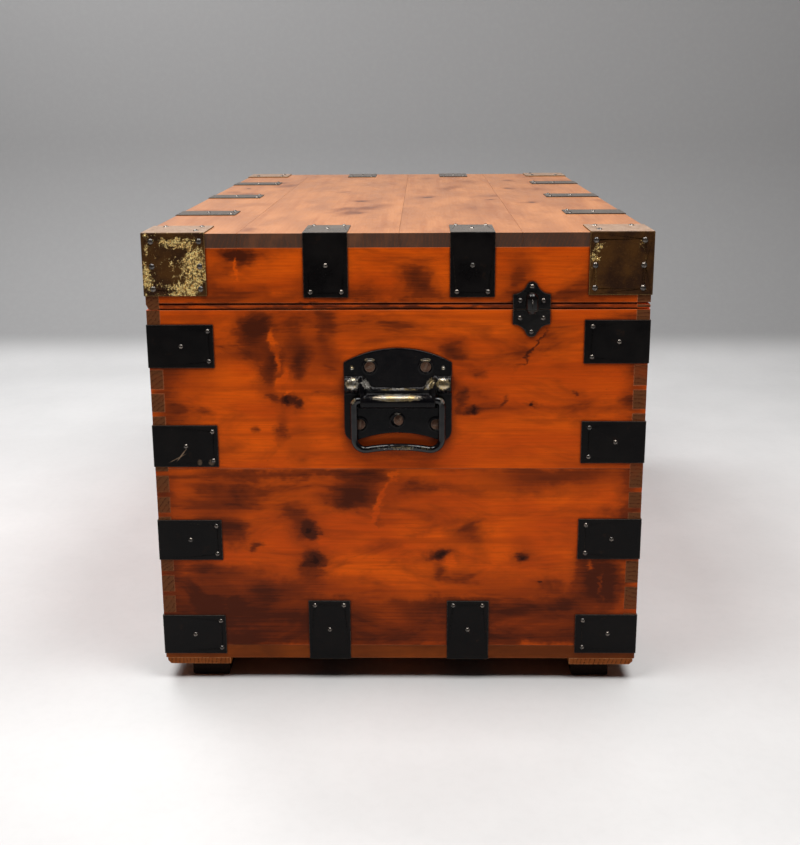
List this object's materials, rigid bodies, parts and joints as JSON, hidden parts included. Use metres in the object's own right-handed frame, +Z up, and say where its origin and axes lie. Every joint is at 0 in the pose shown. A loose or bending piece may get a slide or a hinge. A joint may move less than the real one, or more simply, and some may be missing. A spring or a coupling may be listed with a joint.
{
  "type": "wooden chest",
  "caption": "Iron-bound pine storage chest with a hinged framed lid, drop handles on its ends, corner brackets, lid guides and an inset lock.",
  "frame": {"origin": "on the floor, under the middle of the chest", "axes": "+Z up; X along the chest, with the left end at -X; -Y is the front with the keyhole and +Y the back with the hinges"},
  "size_m": [0.9968, 0.5796, 0.5463],
  "materials": {
    "varnished_pine": "glossy spirit varnish over orange-brown pine, smoky marks and knots",
    "lid_pine": "glossy varnish over pine planks",
    "under_pine": "dull worn pine",
    "black_iron": "black japanned iron, satin",
    "nail_iron": "domed nail heads, rubbed bright",
    "corner_brass": "dark patina with worn gold patches",
    "lock_brass": "aged brass",
    "handle_iron": "gloss black japanned pressed steel, rubbed bright on the ridges",
    "hinge_iron": "black iron",
    "screw_steel": "rusty brown slotted heads"
  },
  "bodies": {
    "box": {"front_board_lower": "varnished_pine", "front_board_upper": "varnished_pine", "back_board_lower": "varnished_pine", "back_board_upper": "varnished_pine", "left_end_board_lower": "varnished_pine", "left_end_board_upper": "varnished_pine", "right_end_board_lower": "varnished_pine", "right_end_board_upper": "varnished_pine", "bottom_plank_1": "under_pine", "bottom_plank_2": "under_pine", "bottom_plank_3": "under_pine", "bottom_plank_4": "under_pine", "bottom_plank_5": "under_pine", "front_batten": "under_pine", "back_batten": "under_pine", "front_runner": "under_pine", "back_runner": "under_pine", "corner_straps_front_left": "black_iron", "corner_straps_back_left": "black_iron", "corner_straps_front_right": "black_iron", "corner_straps_back_right": "black_iron", "bottom_straps_ends": "black_iron", "bottom_straps_sides": "black_iron", "left_guide_pin_plate": "black_iron", "right_guide_pin_plate": "black_iron", "box_strap_nails": "nail_iron", "left_handle_plate": "handle_iron", "right_handle_plate": "handle_iron", "handle_screws": "screw_steel", "box_hinge_screws": "screw_steel", "lock_screws": "screw_steel", "left_hinge_box_strap": "hinge_iron", "right_hinge_box_strap": "hinge_iron", "hinge_pins": "hinge_iron", "lock_case": "lock_brass", "keyhole_plate": "lock_brass"},
    "lid": {"lid_front_rail": "varnished_pine", "lid_back_rail": "varnished_pine", "lid_left_rail": "varnished_pine", "lid_right_rail": "varnished_pine", "lid_plank_1": "lid_pine", "lid_plank_2": "lid_pine", "lid_plank_3": "lid_pine", "lid_plank_4": "lid_pine", "lid_bracket_front_left": "corner_brass", "lid_bracket_back_left": "corner_brass", "lid_bracket_front_right": "corner_brass", "lid_bracket_back_right": "corner_brass", "lid_straps_ends": "black_iron", "lid_straps_sides": "black_iron", "left_guide_socket_plate": "black_iron", "right_guide_socket_plate": "black_iron", "lid_strap_nails": "nail_iron", "left_hinge_lid_strap": "hinge_iron", "right_hinge_lid_strap": "hinge_iron", "lid_screws": "screw_steel", "lock_link_plate": "lock_brass"},
    "left_bail": {"left_handle_bail": "handle_iron"},
    "right_bail": {"right_handle_bail": "handle_iron"},
    "lock_bolt": {"lock_bolt": "lock_brass"}
  },
  "joints": [
    {"name": "lid_hinge", "type": "hinge", "parent": "box", "child": "lid", "pos_m": [0, 0.285, 0.457], "axis": [-1, 0, 0], "range_deg": [0, 105]},
    {"name": "left_bail_swing", "type": "hinge", "parent": "box", "child": "left_bail", "pos_m": [-0.4925, 0, 0.353], "axis": [0, 1, 0], "range_deg": [0, 90]},
    {"name": "right_bail_swing", "type": "hinge", "parent": "box", "child": "right_bail", "pos_m": [0.4925, 0, 0.353], "axis": [0, -1, 0], "range_deg": [0, 90]},
    {"name": "bolt_throw", "type": "slide", "parent": "box", "child": "lock_bolt", "axis": [1, 0, 0], "range_m": [0, 0.009]}
  ]
}
